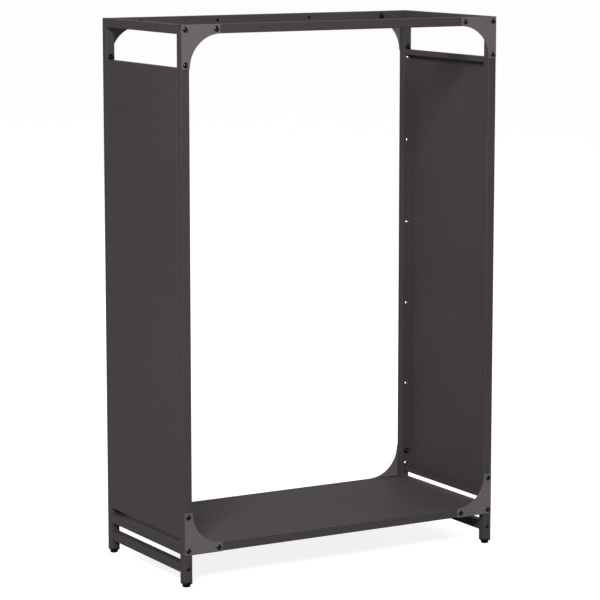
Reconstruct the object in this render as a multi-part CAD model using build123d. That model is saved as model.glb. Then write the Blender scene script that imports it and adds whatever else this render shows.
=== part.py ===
from build123d import *
import os

# Firewood log rack: a bolted frame of square steel tube with two sheet side panels,
# a sheet floor, and quarter-arc corner plates on its front and back.
# X is the width (left to right), Y the depth (front to back) and Z is up.
# The origin lies on the floor, under the middle of the rack. Millimetres.

# Whole rack
WIDTH = 600.0  # over the outer faces of the posts
DEPTH = 280.0  # over the outer faces of the posts
HEIGHT = 910.0  # from the floor to the top of the frame

# Square tube
TUBE = 15.0
WALL = 1.0
TUBE_CORNER = 1.2
BORE_CORNER = 0.5

# Levels above the floor
FOOT_HEIGHT = 8.0  # the post tubes start here
FOOT_RAIL_BOTTOM = 23.5
BOTTOM_RAIL_BOTTOM = 53.5
PANEL_BOTTOM = 79.5
PANEL_TOP = 841.5
CAP_THICKNESS = 1.0

# Sheet metal
PANEL_SHEET = 0.8
PANEL_FLANGE = 12.0  # depth of the folded edges
PANEL_LIP = 9.0  # return at the top and bottom folds
PANEL_BEND = 1.2
TRAY_SHEET = 1.0
TRAY_FLANGE = 13.0
TRAY_BEND = 1.2

# Corner plates
PLATE_THICKNESS = 1.5
PLATE_LEG = 70.5
PLATE_INSET = 1.2  # back from the outer side of the post
PLATE_CORNER = 1.0
SCREW_PITCH = 56.0

# Button-head screws and their nuts
BOLT_R = 2.45
BOLT_HOLE_R = 2.7
BOLT_HEAD_R = 4.75
BOLT_HEAD_HEIGHT = 2.6
BOLT_SOCKET_R = 1.75
BOLT_SOCKET_DEPTH = 1.5
FOOT_BOLT_HEAD_R = 4.0
FOOT_BOLT_HEAD_HEIGHT = 2.3
NUT_FLATS = 8.0
NUT_HEIGHT = 4.0
BOLT_TAIL = 1.0
NUT_BOLT_LENGTH = PLATE_THICKNESS + TUBE + NUT_HEIGHT + BOLT_TAIL
INSERT_BOLT_LENGTH = 30.0
THREAD_CLEARANCE = 0.05  # between a screw and the bore of its nut or insert
NUT_CHAMFER = 0.2  # how far the outer end's round edge lies inside the flats
NUT_CONE_SPREAD = 2.6  # makes the cone clear the hexagon at the seat

# Sheet-metal screws
TAPPER_R = 1.9
TAPPER_HOLE_R = 1.98
TAPPER_HEAD_R = 3.5
TAPPER_HEAD_HEIGHT = 2.2
TAPPER_LENGTH = 9.0
TAPPER_TIP_R = 0.2
TAPPER_SLOT_WIDTH = 1.0
TAPPER_SLOT_DEPTH = 1.1
PANEL_SCREW_MARGIN = 13.8  # first and last panel screw from the panel's ends
PANEL_SCREW_COUNT = 6
TRAY_SCREW_X = 190.0
TRAY_SCREW_Y = 70.0

# Whatever is pushed in the end of a tube
PLUG_CLEARANCE = 0.1
PLUG_SIZE = TUBE - 2 * WALL - PLUG_CLEARANCE
PLUG_CORNER = 0.8

# Threaded inserts in the ends of the side rails
INSERT_LENGTH = 18.0

# Plastic feet and caps
FOOT_FLANGE = 15.8
FOOT_FLANGE_THICKNESS = 3.0
FOOT_FLANGE_CORNER = 2.2
FOOT_FLANGE_CHAMFER = 0.8
FOOT_BASE_R = 6.7
FOOT_BASE_EDGE = 1.2
FOOT_PLUG_LENGTH = 15.0
FOOT_PLUG_CHAMFER = 0.8
CAP_PLUG_LENGTH = 2.6
CAP_EDGE = 0.4

# Wall-fixing holes in the back top rail
WALL_HOLE_X = 90.0
WALL_HOLE_R = 2.5

# Places worked out from the dimensions above
HALF_W = WIDTH / 2
HALF_D = DEPTH / 2
HALF_TUBE = TUBE / 2
POST_X = HALF_W - HALF_TUBE
POST_Y = HALF_D - HALF_TUBE
INNER_X = HALF_W - TUBE
INNER_Y = HALF_D - TUBE
POST_TOP = HEIGHT - CAP_THICKNESS
TOP_RAIL_Z = HEIGHT - HALF_TUBE
BOTTOM_RAIL_Z = BOTTOM_RAIL_BOTTOM + HALF_TUBE
FOOT_RAIL_Z = FOOT_RAIL_BOTTOM + HALF_TUBE
FLOOR_TOP = BOTTOM_RAIL_BOTTOM + TUBE
PLATE_RAIL_X = POST_X - SCREW_PITCH
PLATE_POST_Z_TOP = TOP_RAIL_Z - SCREW_PITCH
PLATE_POST_Z_BOTTOM = BOTTOM_RAIL_Z + SCREW_PITCH
PANEL_PITCH = (PANEL_TOP - PANEL_BOTTOM - 2 * PANEL_SCREW_MARGIN) / (PANEL_SCREW_COUNT - 1)
PANEL_SCREW_Z = [PANEL_BOTTOM + PANEL_SCREW_MARGIN + i * PANEL_PITCH for i in range(PANEL_SCREW_COUNT)]

LEFT_RIGHT = {"left": -1, "right": 1}
FRONT_BACK = {"front": -1, "back": 1}


def save(name, shape):
    """Write one named piece, or one group of identical pieces."""
    export_step(shape, f"parts/{name}.step")


def facing(point, direction):
    """Location at a point whose local +Z looks along a direction."""
    return Plane(origin=point, z_dir=direction).location


def tube(start, direction, length):
    """Square tube with rounded corners, from a start point along an axis."""
    outer = RectangleRounded(TUBE, TUBE, TUBE_CORNER)
    bore = RectangleRounded(TUBE - 2 * WALL, TUBE - 2 * WALL, BORE_CORNER)
    return facing(start, direction) * extrude(outer - bore, length)


def hole(point, direction, radius, depth):
    """Cylinder to drill with: centred on the point, half the depth each way."""
    return facing(point, direction) * Cylinder(radius, depth)


def drill(shape, cutters):
    """Take a list of cutters out of a shape, leaving one solid."""
    for cutter in cutters:
        shape = shape - cutter
    return shape


def button_screw(head_r, head_height, length):
    """Dome-headed machine screw with a hexagon socket; the head's seat is at z = 0."""
    dome_r = (head_r**2 + head_height**2) / (2 * head_height)
    dome = Pos(0, 0, head_height - dome_r) * Sphere(dome_r)
    head = dome & (Pos(0, 0, head_height / 2) * Cylinder(head_r, head_height))
    shank = Pos(0, 0, -length / 2) * Cylinder(BOLT_R, length)
    socket = Pos(0, 0, head_height - BOLT_SOCKET_DEPTH) * extrude(
        RegularPolygon(BOLT_SOCKET_R, 6), BOLT_SOCKET_DEPTH
    )
    return (head + shank) - socket


def tapping_screw():
    """Pan-headed sheet-metal screw with a cross recess; the head's seat is at z = 0."""
    dome_r = (TAPPER_HEAD_R**2 + TAPPER_HEAD_HEIGHT**2) / (2 * TAPPER_HEAD_HEIGHT)
    dome = Pos(0, 0, TAPPER_HEAD_HEIGHT - dome_r) * Sphere(dome_r)
    head = dome & (Pos(0, 0, TAPPER_HEAD_HEIGHT / 2) * Cylinder(TAPPER_HEAD_R, TAPPER_HEAD_HEIGHT))
    shank = Pos(0, 0, -TAPPER_LENGTH / 2) * Cylinder(TAPPER_R, TAPPER_LENGTH)
    point = Pos(0, 0, -TAPPER_LENGTH - TAPPER_R) * Cone(TAPPER_TIP_R, TAPPER_R, 2 * TAPPER_R)
    slot = Box(TAPPER_HEAD_R, TAPPER_SLOT_WIDTH, TAPPER_SLOT_DEPTH)
    cross = slot + Rot(0, 0, 90) * slot
    recess = Pos(0, 0, TAPPER_HEAD_HEIGHT - TAPPER_SLOT_DEPTH / 2) * cross
    return (head + shank + point) - recess


def hex_nut():
    """Hexagon nut; its seat is at z = 0 and it stands towards +z."""
    half_flats = NUT_FLATS / 2
    body = extrude(RegularPolygon(half_flats, 6, major_radius=False), NUT_HEIGHT)
    cone = Cone(half_flats + NUT_CONE_SPREAD, half_flats - NUT_CHAMFER, NUT_HEIGHT)
    body = body & (Pos(0, 0, NUT_HEIGHT / 2) * cone)
    return body - Cylinder(BOLT_R + THREAD_CLEARANCE, 3 * NUT_HEIGHT)


def post(side_x, side_y):
    """Corner post, drilled for the plate, rail and panel screws."""
    x = side_x * POST_X
    y = side_y * POST_Y
    blank = tube((x, y, FOOT_HEIGHT), (0, 0, 1), POST_TOP - FOOT_HEIGHT)
    levels = [FOOT_RAIL_Z, BOTTOM_RAIL_Z, PLATE_POST_Z_BOTTOM, PLATE_POST_Z_TOP, TOP_RAIL_Z]
    bolts = [hole((x, y, z), (0, 1, 0), BOLT_HOLE_R, 2 * TUBE) for z in levels]
    inner_wall = side_y * (INNER_Y + WALL / 2)
    tappers = [hole((x, inner_wall, z), (0, 1, 0), TAPPER_HOLE_R, 2 * WALL) for z in PANEL_SCREW_Z]
    return drill(blank, bolts + tappers)


def wide_rail(side_y, z):
    """Rail along the width, drilled at both ends for the corner plates."""
    y = side_y * POST_Y
    blank = tube((-INNER_X, y, z), (1, 0, 0), 2 * INNER_X)
    ends = [hole((x, y, z), (0, 1, 0), BOLT_HOLE_R, 2 * TUBE) for x in (-PLATE_RAIL_X, PLATE_RAIL_X)]
    return drill(blank, ends)


def top_wide_rail(side_y):
    """Top rail along the width; the back one has the two wall-fixing holes."""
    rail = wide_rail(side_y, TOP_RAIL_Z)
    if side_y < 0:
        return rail
    fixings = [
        hole((x, POST_Y, TOP_RAIL_Z), (0, 1, 0), WALL_HOLE_R, 2 * TUBE)
        for x in (-WALL_HOLE_X, WALL_HOLE_X)
    ]
    return drill(rail, fixings)


def bottom_wide_rail(side_y):
    """Bottom rail along the width, with pilot holes for the floor's screws."""
    inner_wall = side_y * (INNER_Y + WALL / 2)
    pilots = [
        hole((x, inner_wall, BOTTOM_RAIL_Z), (0, 1, 0), TAPPER_HOLE_R, 2 * WALL)
        for x in (-TRAY_SCREW_X, 0, TRAY_SCREW_X)
    ]
    return drill(wide_rail(side_y, BOTTOM_RAIL_Z), pilots)


def side_rail(side_x, z):
    """Rail along the depth, between a front and a back post."""
    return tube((side_x * POST_X, -INNER_Y, z), (0, 1, 0), 2 * INNER_Y)


def bottom_side_rail(side_x):
    """Bottom rail along the depth, with pilot holes for the floor's screws."""
    inner_wall = side_x * (INNER_X + WALL / 2)
    pilots = [
        hole((inner_wall, y, BOTTOM_RAIL_Z), (1, 0, 0), TAPPER_HOLE_R, 2 * WALL)
        for y in (-TRAY_SCREW_Y, TRAY_SCREW_Y)
    ]
    return drill(side_rail(side_x, BOTTOM_RAIL_Z), pilots)


def corner_plate(side_x, side_y, level):
    """Flat plate with a quarter-arc inner edge that runs into both tubes."""
    # In the outline, x runs inwards from the outer side and y inwards from the top or bottom edge.
    sides = Polyline(
        (TUBE, PLATE_LEG),
        (PLATE_INSET, PLATE_LEG),
        (PLATE_INSET, 0),
        (PLATE_LEG, 0),
        (PLATE_LEG, TUBE),
    )
    arc_rise = (PLATE_LEG - TUBE) * (1 - 0.5**0.5)
    arc_middle = (TUBE + arc_rise, TUBE + arc_rise)
    arc = ThreePointArc((PLATE_LEG, TUBE), arc_middle, (TUBE, PLATE_LEG))
    face = make_face(sides + arc)
    outer_corners = [v for v in face.vertices() if v.X < TUBE - PLATE_CORNER or v.Y < TUBE - PLATE_CORNER]
    face = fillet(outer_corners, PLATE_CORNER)
    far = HALF_TUBE + SCREW_PITCH
    for place in ((HALF_TUBE, HALF_TUBE), (far, HALF_TUBE), (HALF_TUBE, far)):
        face = face - Pos(*place) * Circle(BOLT_HOLE_R)
    # Stood up as the lower left plate of the front, then mirrored to its own corner.
    plate = Rot(90, 0, 0) * extrude(face, PLATE_THICKNESS)
    if side_x > 0:
        plate = mirror(plate, about=Plane.YZ)
    if side_y > 0:
        plate = mirror(plate, about=Plane.XZ)
    if level == "top":
        plate = mirror(plate, about=Plane.XY)
    corner_z = HEIGHT if level == "top" else BOTTOM_RAIL_BOTTOM
    return Pos(side_x * HALF_W, side_y * HALF_D, corner_z) * plate


def side_panel(side_x):
    """Folded sheet tray between two posts, its flat face level with their outer sides."""
    height = PANEL_TOP - PANEL_BOTTOM
    middle_z = (PANEL_TOP + PANEL_BOTTOM) / 2
    blank = Box(PANEL_FLANGE, 2 * INNER_Y, height)
    outer_edges = blank.faces().sort_by(Axis.X)[0].edges()
    blank = fillet(outer_edges, PANEL_BEND)
    hollow = Pos(PANEL_SHEET, 0, 0) * Box(
        PANEL_FLANGE, 2 * (INNER_Y - PANEL_SHEET), height - 2 * PANEL_SHEET
    )
    pan = blank - hollow
    lip_z = (height - PANEL_LIP) / 2
    lip = Box(PANEL_SHEET, 2 * (INNER_Y - PANEL_SHEET), PANEL_LIP)
    lip_x = (PANEL_FLANGE - PANEL_SHEET) / 2
    pan = pan + Pos(lip_x, 0, lip_z) * lip + Pos(lip_x, 0, -lip_z) * lip
    if side_x > 0:
        pan = mirror(pan, about=Plane.YZ)
    pan = Pos(side_x * (HALF_W - PANEL_FLANGE / 2), 0, middle_z) * pan
    cutters = []
    for side_y in FRONT_BACK.values():
        y = side_y * (INNER_Y - PANEL_SHEET / 2)
        x = side_x * POST_X
        cutters += [hole((x, y, z), (0, 1, 0), TAPPER_HOLE_R, 2 * PANEL_SHEET) for z in PANEL_SCREW_Z]
        cutters.append(hole((x, y, PLATE_POST_Z_BOTTOM), (0, 1, 0), BOLT_HOLE_R, 2 * PANEL_SHEET))
    return drill(pan, cutters)


def floor_tray():
    """Folded sheet floor, level with the tops of the bottom rails and screwed to their inner sides."""
    blank = Box(2 * INNER_X, 2 * INNER_Y, TRAY_FLANGE)
    blank = fillet(blank.faces().sort_by(Axis.Z)[-1].edges(), TRAY_BEND)
    hollow = Pos(0, 0, -TRAY_SHEET) * Box(
        2 * (INNER_X - TRAY_SHEET), 2 * (INNER_Y - TRAY_SHEET), TRAY_FLANGE
    )
    tray = Pos(0, 0, FLOOR_TOP - TRAY_FLANGE / 2) * (blank - hollow)
    cutters = []
    for side_y in FRONT_BACK.values():
        y = side_y * (INNER_Y - TRAY_SHEET / 2)
        for x in (-TRAY_SCREW_X, 0, TRAY_SCREW_X):
            cutters.append(hole((x, y, BOTTOM_RAIL_Z), (0, 1, 0), TAPPER_HOLE_R, 2 * TRAY_SHEET))
        for x in (-PLATE_RAIL_X, PLATE_RAIL_X):
            cutters.append(hole((x, y, BOTTOM_RAIL_Z), (0, 1, 0), BOLT_HOLE_R, 2 * TRAY_SHEET))
    for side_x in LEFT_RIGHT.values():
        x = side_x * (INNER_X - TRAY_SHEET / 2)
        for y in (-TRAY_SCREW_Y, TRAY_SCREW_Y):
            cutters.append(hole((x, y, BOTTOM_RAIL_Z), (1, 0, 0), TAPPER_HOLE_R, 2 * TRAY_SHEET))
    return drill(tray, cutters)


def tube_plug(length):
    """Square block that fills the bore of a tube, from z = 0 up."""
    return extrude(RectangleRounded(PLUG_SIZE, PLUG_SIZE, PLUG_CORNER), length)


def foot(side_x, side_y):
    """Moulded foot: a plug in the tube, a square flange under it and a round pad on the floor."""
    base_height = FOOT_HEIGHT - FOOT_FLANGE_THICKNESS
    pad = Pos(0, 0, base_height / 2) * Cylinder(FOOT_BASE_R, base_height)
    pad = fillet(pad.edges().sort_by(Axis.Z)[0], FOOT_BASE_EDGE)
    flange = extrude(RectangleRounded(FOOT_FLANGE, FOOT_FLANGE, FOOT_FLANGE_CORNER), FOOT_FLANGE_THICKNESS)
    flange = chamfer(flange.faces().sort_by(Axis.Z)[0].edges(), FOOT_FLANGE_CHAMFER)
    plug = tube_plug(FOOT_PLUG_LENGTH)
    plug = chamfer(plug.faces().sort_by(Axis.Z)[-1].edges(), FOOT_PLUG_CHAMFER)
    piece = pad + Pos(0, 0, base_height) * flange + Pos(0, 0, FOOT_HEIGHT) * plug
    return Pos(side_x * POST_X, side_y * POST_Y, 0) * piece


def post_cap(side_x, side_y):
    """Shallow plastic cap that closes the top of a post, level with the rails."""
    lid = extrude(RectangleRounded(TUBE, TUBE, TUBE_CORNER), CAP_THICKNESS)
    lid = fillet(lid.faces().sort_by(Axis.Z)[-1].edges(), CAP_EDGE)
    plug = Pos(0, 0, -CAP_PLUG_LENGTH) * tube_plug(CAP_PLUG_LENGTH)
    return Pos(side_x * POST_X, side_y * POST_Y, POST_TOP) * (lid + plug)


def end_insert():
    """Threaded block for the end of a side rail; its outer end is at z = 0 and it runs to -z."""
    block = Pos(0, 0, -INSERT_LENGTH) * tube_plug(INSERT_LENGTH)
    return block - Cylinder(BOLT_R + THREAD_CLEARANCE, 3 * INSERT_LENGTH)


def corner_points(levels):
    """Every post centre line at the given levels, with its outward Y sign."""
    for side_x in LEFT_RIGHT.values():
        for side_y in FRONT_BACK.values():
            for z in levels:
                yield side_x, side_y, z


def posts_and_plastics():
    """The four posts, each with its foot and its cap."""
    for depth_name, side_y in FRONT_BACK.items():
        for side_name, side_x in LEFT_RIGHT.items():
            save(f"post_{depth_name}_{side_name}", post(side_x, side_y))
            save(f"foot_{depth_name}_{side_name}", foot(side_x, side_y))
            save(f"post_cap_{depth_name}_{side_name}", post_cap(side_x, side_y))


def rails():
    """The ten rails between the posts."""
    for depth_name, side_y in FRONT_BACK.items():
        save(f"top_rail_{depth_name}", top_wide_rail(side_y))
        save(f"bottom_rail_{depth_name}", bottom_wide_rail(side_y))
    for side_name, side_x in LEFT_RIGHT.items():
        save(f"top_rail_{side_name}", side_rail(side_x, TOP_RAIL_Z))
        save(f"bottom_rail_{side_name}", bottom_side_rail(side_x))
        save(f"foot_rail_{side_name}", side_rail(side_x, FOOT_RAIL_Z))


def plates_and_sheets():
    """The corner plates, the side panels and the floor."""
    for level in ("top", "bottom"):
        for depth_name, side_y in FRONT_BACK.items():
            for side_name, side_x in LEFT_RIGHT.items():
                save(f"corner_plate_{level}_{depth_name}_{side_name}", corner_plate(side_x, side_y, level))
    for side_name, side_x in LEFT_RIGHT.items():
        save(f"side_panel_{side_name}", side_panel(side_x))
    save("floor_tray", floor_tray())


def fasteners():
    """Every screw, nut and insert, one group for each kind and place."""
    plate_face = HALF_D + PLATE_THICKNESS
    long_screw = button_screw(BOLT_HEAD_R, BOLT_HEAD_HEIGHT, INSERT_BOLT_LENGTH)
    short_screw = button_screw(BOLT_HEAD_R, BOLT_HEAD_HEIGHT, NUT_BOLT_LENGTH)
    foot_screw = button_screw(FOOT_BOLT_HEAD_R, FOOT_BOLT_HEAD_HEIGHT, INSERT_BOLT_LENGTH)
    nut = hex_nut()
    insert = end_insert()
    tapper = tapping_screw()

    corner_screws = []
    post_screws = []
    post_nuts = []
    for side_x, side_y, z in corner_points([TOP_RAIL_Z, BOTTOM_RAIL_Z]):
        corner_screws.append(facing((side_x * POST_X, side_y * plate_face, z), (0, side_y, 0)) * long_screw)
    for side_x, side_y, z in corner_points([PLATE_POST_Z_TOP, PLATE_POST_Z_BOTTOM]):
        post_screws.append(facing((side_x * POST_X, side_y * plate_face, z), (0, side_y, 0)) * short_screw)
        sheet = PANEL_SHEET if z == PLATE_POST_Z_BOTTOM else 0
        seat = (side_x * POST_X, side_y * (INNER_Y - sheet), z)
        post_nuts.append(facing(seat, (0, -side_y, 0)) * nut)

    rail_screws = []
    rail_nuts = []
    for side_x, side_y, z in corner_points([TOP_RAIL_Z, BOTTOM_RAIL_Z]):
        x = side_x * PLATE_RAIL_X
        rail_screws.append(facing((x, side_y * plate_face, z), (0, side_y, 0)) * short_screw)
        sheet = TRAY_SHEET if z == BOTTOM_RAIL_Z else 0
        rail_nuts.append(facing((x, side_y * (INNER_Y - sheet), z), (0, -side_y, 0)) * nut)

    foot_rail_screws = []
    for side_x, side_y, z in corner_points([FOOT_RAIL_Z]):
        foot_rail_screws.append(facing((side_x * POST_X, side_y * HALF_D, z), (0, side_y, 0)) * foot_screw)

    inserts = []
    for side_x, side_y, z in corner_points([TOP_RAIL_Z, BOTTOM_RAIL_Z, FOOT_RAIL_Z]):
        inserts.append(facing((side_x * POST_X, side_y * INNER_Y, z), (0, side_y, 0)) * insert)

    panel_screws = {"left": [], "right": []}
    for side_name, side_x in LEFT_RIGHT.items():
        for side_y in FRONT_BACK.values():
            for z in PANEL_SCREW_Z:
                seat = (side_x * POST_X, side_y * (INNER_Y - PANEL_SHEET), z)
                panel_screws[side_name].append(facing(seat, (0, -side_y, 0)) * tapper)

    tray_screws = []
    for side_y in FRONT_BACK.values():
        for x in (-TRAY_SCREW_X, 0, TRAY_SCREW_X):
            seat = (x, side_y * (INNER_Y - TRAY_SHEET), BOTTOM_RAIL_Z)
            tray_screws.append(facing(seat, (0, -side_y, 0)) * tapper)
    for side_x in LEFT_RIGHT.values():
        for y in (-TRAY_SCREW_Y, TRAY_SCREW_Y):
            seat = (side_x * (INNER_X - TRAY_SHEET), y, BOTTOM_RAIL_Z)
            tray_screws.append(facing(seat, (-side_x, 0, 0)) * tapper)

    save("plate_corner_screws", Compound(corner_screws))
    save("plate_post_screws", Compound(post_screws))
    save("plate_rail_screws", Compound(rail_screws))
    save("post_nuts", Compound(post_nuts))
    save("rail_nuts", Compound(rail_nuts))
    save("foot_rail_screws", Compound(foot_rail_screws))
    save("rail_end_inserts", Compound(inserts))
    save("panel_screws_left", Compound(panel_screws["left"]))
    save("panel_screws_right", Compound(panel_screws["right"]))
    save("tray_screws", Compound(tray_screws))


os.makedirs("parts", exist_ok=True)
posts_and_plastics()
rails()
plates_and_sheets()
fasteners()
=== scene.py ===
import bpy
import bmesh
import math
from mathutils import Euler, Matrix, Vector


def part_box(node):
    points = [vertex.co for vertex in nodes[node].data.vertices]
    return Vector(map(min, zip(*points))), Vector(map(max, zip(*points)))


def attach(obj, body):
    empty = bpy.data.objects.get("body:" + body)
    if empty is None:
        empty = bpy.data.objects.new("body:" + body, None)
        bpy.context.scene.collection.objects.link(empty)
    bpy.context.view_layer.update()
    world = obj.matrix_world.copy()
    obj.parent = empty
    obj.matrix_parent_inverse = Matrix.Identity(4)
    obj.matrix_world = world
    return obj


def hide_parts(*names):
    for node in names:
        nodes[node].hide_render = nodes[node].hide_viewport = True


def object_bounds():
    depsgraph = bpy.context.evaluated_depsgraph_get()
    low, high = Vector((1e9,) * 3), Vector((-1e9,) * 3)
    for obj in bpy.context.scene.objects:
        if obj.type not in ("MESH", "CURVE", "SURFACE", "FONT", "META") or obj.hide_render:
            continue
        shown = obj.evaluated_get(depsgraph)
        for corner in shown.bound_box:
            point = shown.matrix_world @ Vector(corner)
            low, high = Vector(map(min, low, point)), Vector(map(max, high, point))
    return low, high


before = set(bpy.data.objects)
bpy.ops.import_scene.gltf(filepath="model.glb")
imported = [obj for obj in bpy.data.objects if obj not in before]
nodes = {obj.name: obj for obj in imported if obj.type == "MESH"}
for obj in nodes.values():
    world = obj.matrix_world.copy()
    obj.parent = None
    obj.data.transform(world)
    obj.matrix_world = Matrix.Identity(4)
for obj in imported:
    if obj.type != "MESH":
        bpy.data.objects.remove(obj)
cad_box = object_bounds()
scene = bpy.context.scene


# ---------------------------------------------------------------------------
# Stage: a pale studio floor, an even white surround and three soft lamps. The
# key lamp stands high at the front left, so that every domed screw head has a
# small highlight at its upper left; the other two fill from the back and right.
# ---------------------------------------------------------------------------

EYE = Vector((-2.2213, -3.8023, 1.1109))
TURN_RIGHT = math.radians(30.278)
LOOK_DOWN = math.radians(8.772)
LENS_MM = 157.28
SENSOR_MM = 36.0

camera = bpy.data.objects.new("camera", bpy.data.cameras.new("camera"))
camera.data.lens = LENS_MM
camera.data.sensor_width = SENSOR_MM
camera.location = EYE
camera.rotation_euler = (math.pi / 2 - LOOK_DOWN, 0, -TURN_RIGHT)
scene.collection.objects.link(camera)
scene.camera = camera
scene.view_settings.view_transform = "Standard"


def plug(tree, kind, wires=None, **settings):
    """Add a node to a tree: settings are its properties, wires its inputs, as values or as sockets."""
    node = tree.nodes.new(kind)
    for key, value in settings.items():
        setattr(node, key, value)
    for name, value in (wires or {}).items():
        socket = next(s for s in node.inputs if s.name == name and s.enabled)
        if isinstance(value, bpy.types.NodeSocket):
            tree.links.new(value, socket)
        else:
            socket.default_value = value
    return node


def bare_material(name):
    """A node material with nothing in it but a Principled shader and the output."""
    material = bpy.data.materials.new(name)
    material.use_nodes = True
    tree = material.node_tree
    shader = next(n for n in tree.nodes if n.type == "BSDF_PRINCIPLED")
    return material, tree, shader


FLOOR_SIZE = 60.0
FLOOR_WHITE = (0.30, 0.30, 0.30, 1)
FLOOR_GLOW = 0.86

floor_mesh = bpy.data.meshes.new("studio_floor")
half_floor = FLOOR_SIZE / 2
floor_corners = [(x * half_floor, y * half_floor, 0) for x, y in ((-1, -1), (1, -1), (1, 1), (-1, 1))]
floor_mesh.from_pydata(floor_corners, [], [(0, 1, 2, 3)])
studio_floor = bpy.data.objects.new("studio_floor", floor_mesh)
scene.collection.objects.link(studio_floor)
floor_material, floor_tree, floor_shader = bare_material("studio_floor_paper")
floor_shader.inputs["Base Color"].default_value = FLOOR_WHITE
floor_shader.inputs["Roughness"].default_value = 0.9
floor_shader.inputs["Specular IOR Level"].default_value = 0.1
floor_shader.inputs["Emission Color"].default_value = (1, 1, 1, 1)
seen_floor = plug(floor_tree, "ShaderNodeLightPath").outputs["Is Camera Ray"]
glow = plug(floor_tree, "ShaderNodeMath", operation="MULTIPLY")
floor_tree.links.new(seen_floor, glow.inputs[0])
glow.inputs[1].default_value = FLOOR_GLOW
floor_tree.links.new(glow.outputs[0], floor_shader.inputs["Emission Strength"])
floor_mesh.materials.append(floor_material)

SURROUND_STRENGTH = 0.38
SURROUND_SEEN = 1.1
world = bpy.data.worlds.new("white_surround")
world.use_nodes = True
world.node_tree.nodes["Background"].inputs["Color"].default_value = (1, 1, 1, 1)
seen_world = plug(world.node_tree, "ShaderNodeLightPath").outputs["Is Camera Ray"]
surround = plug(world.node_tree, "ShaderNodeMath", operation="MULTIPLY_ADD")
world.node_tree.links.new(seen_world, surround.inputs[0])
surround.inputs[1].default_value = SURROUND_SEEN - SURROUND_STRENGTH
surround.inputs[2].default_value = SURROUND_STRENGTH
world.node_tree.links.new(surround.outputs[0], world.node_tree.nodes["Background"].inputs["Strength"])
scene.world = world


def soft_lamp(name, place, aim, size, power, glare=True):
    """Square area lamp that looks at a point; without glare it only fills, and no surface mirrors it."""
    lamp = bpy.data.objects.new(name, bpy.data.lights.new(name, "AREA"))
    lamp.data.size = size
    lamp.data.energy = power
    lamp.location = place
    lamp.rotation_euler = (Vector(aim) - Vector(place)).to_track_quat("-Z", "Y").to_euler()
    lamp.visible_glossy = glare
    scene.collection.objects.link(lamp)


rack_middle = (cad_box[0] + cad_box[1]) / 2
soft_lamp("key_lamp", (-2.6, -2.9, 2.8), rack_middle, 1.2, 300)
soft_lamp("back_lamp", (0.5, 3.3, 3.5), rack_middle, 2.4, 120, glare=False)
soft_lamp("right_lamp", (4.0, -0.1, 2.4), rack_middle, 2.4, 80)


# ---------------------------------------------------------------------------
# Powder coat: the anthracite polyester finish baked on every steel part.
# It is matt and very slightly pebbled, with fine grains of lighter and darker
# powder and a tone that drifts a little across a large sheet.
# ---------------------------------------------------------------------------


GRAIN_ON_TONE = 0.5
GRAIN_ON_MATT = 0.25
GRAIN_ON_HEIGHT = 0.35
DRIFT_ON_MATT = 0.16
DRIFT_SCALE = 3.5
PEEL_DEPTH = 0.00025
PEEL_STRENGTH = 0.35
COAT_SPECULAR = 0.2


def powder_coat_group():
    """Colour, roughness and height of baked powder, from the piece's own coordinates."""
    group = bpy.data.node_groups.new("powder_coat", "ShaderNodeTree")
    face = group.interface
    face.new_socket("Powder", in_out="INPUT", socket_type="NodeSocketColor")
    for name, value in (("Peel Scale", 900.0), ("Grain Scale", 3200.0), ("Tone Drift", 0.08), ("Matt", 0.5)):
        face.new_socket(name, in_out="INPUT", socket_type="NodeSocketFloat").default_value = value
    face.new_socket("Colour", in_out="OUTPUT", socket_type="NodeSocketColor")
    face.new_socket("Roughness", in_out="OUTPUT", socket_type="NodeSocketFloat")
    face.new_socket("Height", in_out="OUTPUT", socket_type="NodeSocketFloat")
    given = plug(group, "NodeGroupInput").outputs
    where = plug(group, "ShaderNodeTexCoord").outputs["Object"]

    def noise(scale, detail):
        texture = plug(group, "ShaderNodeTexNoise", {"Vector": where, "Scale": scale, "Detail": detail})
        return texture.outputs[0]

    def maths(operation, first, second, third=None):
        node = plug(group, "ShaderNodeMath", operation=operation)
        for socket, value in zip(node.inputs, (first, second, third)):
            if isinstance(value, bpy.types.NodeSocket):
                group.links.new(value, socket)
            elif value is not None:
                socket.default_value = value
        return node.outputs[0]

    drift = maths("SUBTRACT", noise(DRIFT_SCALE, 3.0), 0.5)
    grain = maths("SUBTRACT", noise(given["Grain Scale"], 1.0), 0.5)
    peel = noise(given["Peel Scale"], 2.0)
    shade = maths("MULTIPLY_ADD", drift, given["Tone Drift"], 1.0)
    shade = maths("MULTIPLY_ADD", grain, GRAIN_ON_TONE, shade)
    colour = plug(group, "ShaderNodeVectorMath", operation="SCALE")
    group.links.new(given["Powder"], colour.inputs[0])
    group.links.new(shade, colour.inputs["Scale"])
    matt = maths("MULTIPLY_ADD", drift, DRIFT_ON_MATT, given["Matt"])
    matt = maths("MULTIPLY_ADD", grain, GRAIN_ON_MATT, matt)
    height = maths("MULTIPLY_ADD", grain, GRAIN_ON_HEIGHT, peel)
    done = plug(group, "NodeGroupOutput")
    group.links.new(colour.outputs[0], done.inputs["Colour"])
    group.links.new(matt, done.inputs["Roughness"])
    group.links.new(height, done.inputs["Height"])
    return group


POWDER_COAT = powder_coat_group()


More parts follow.
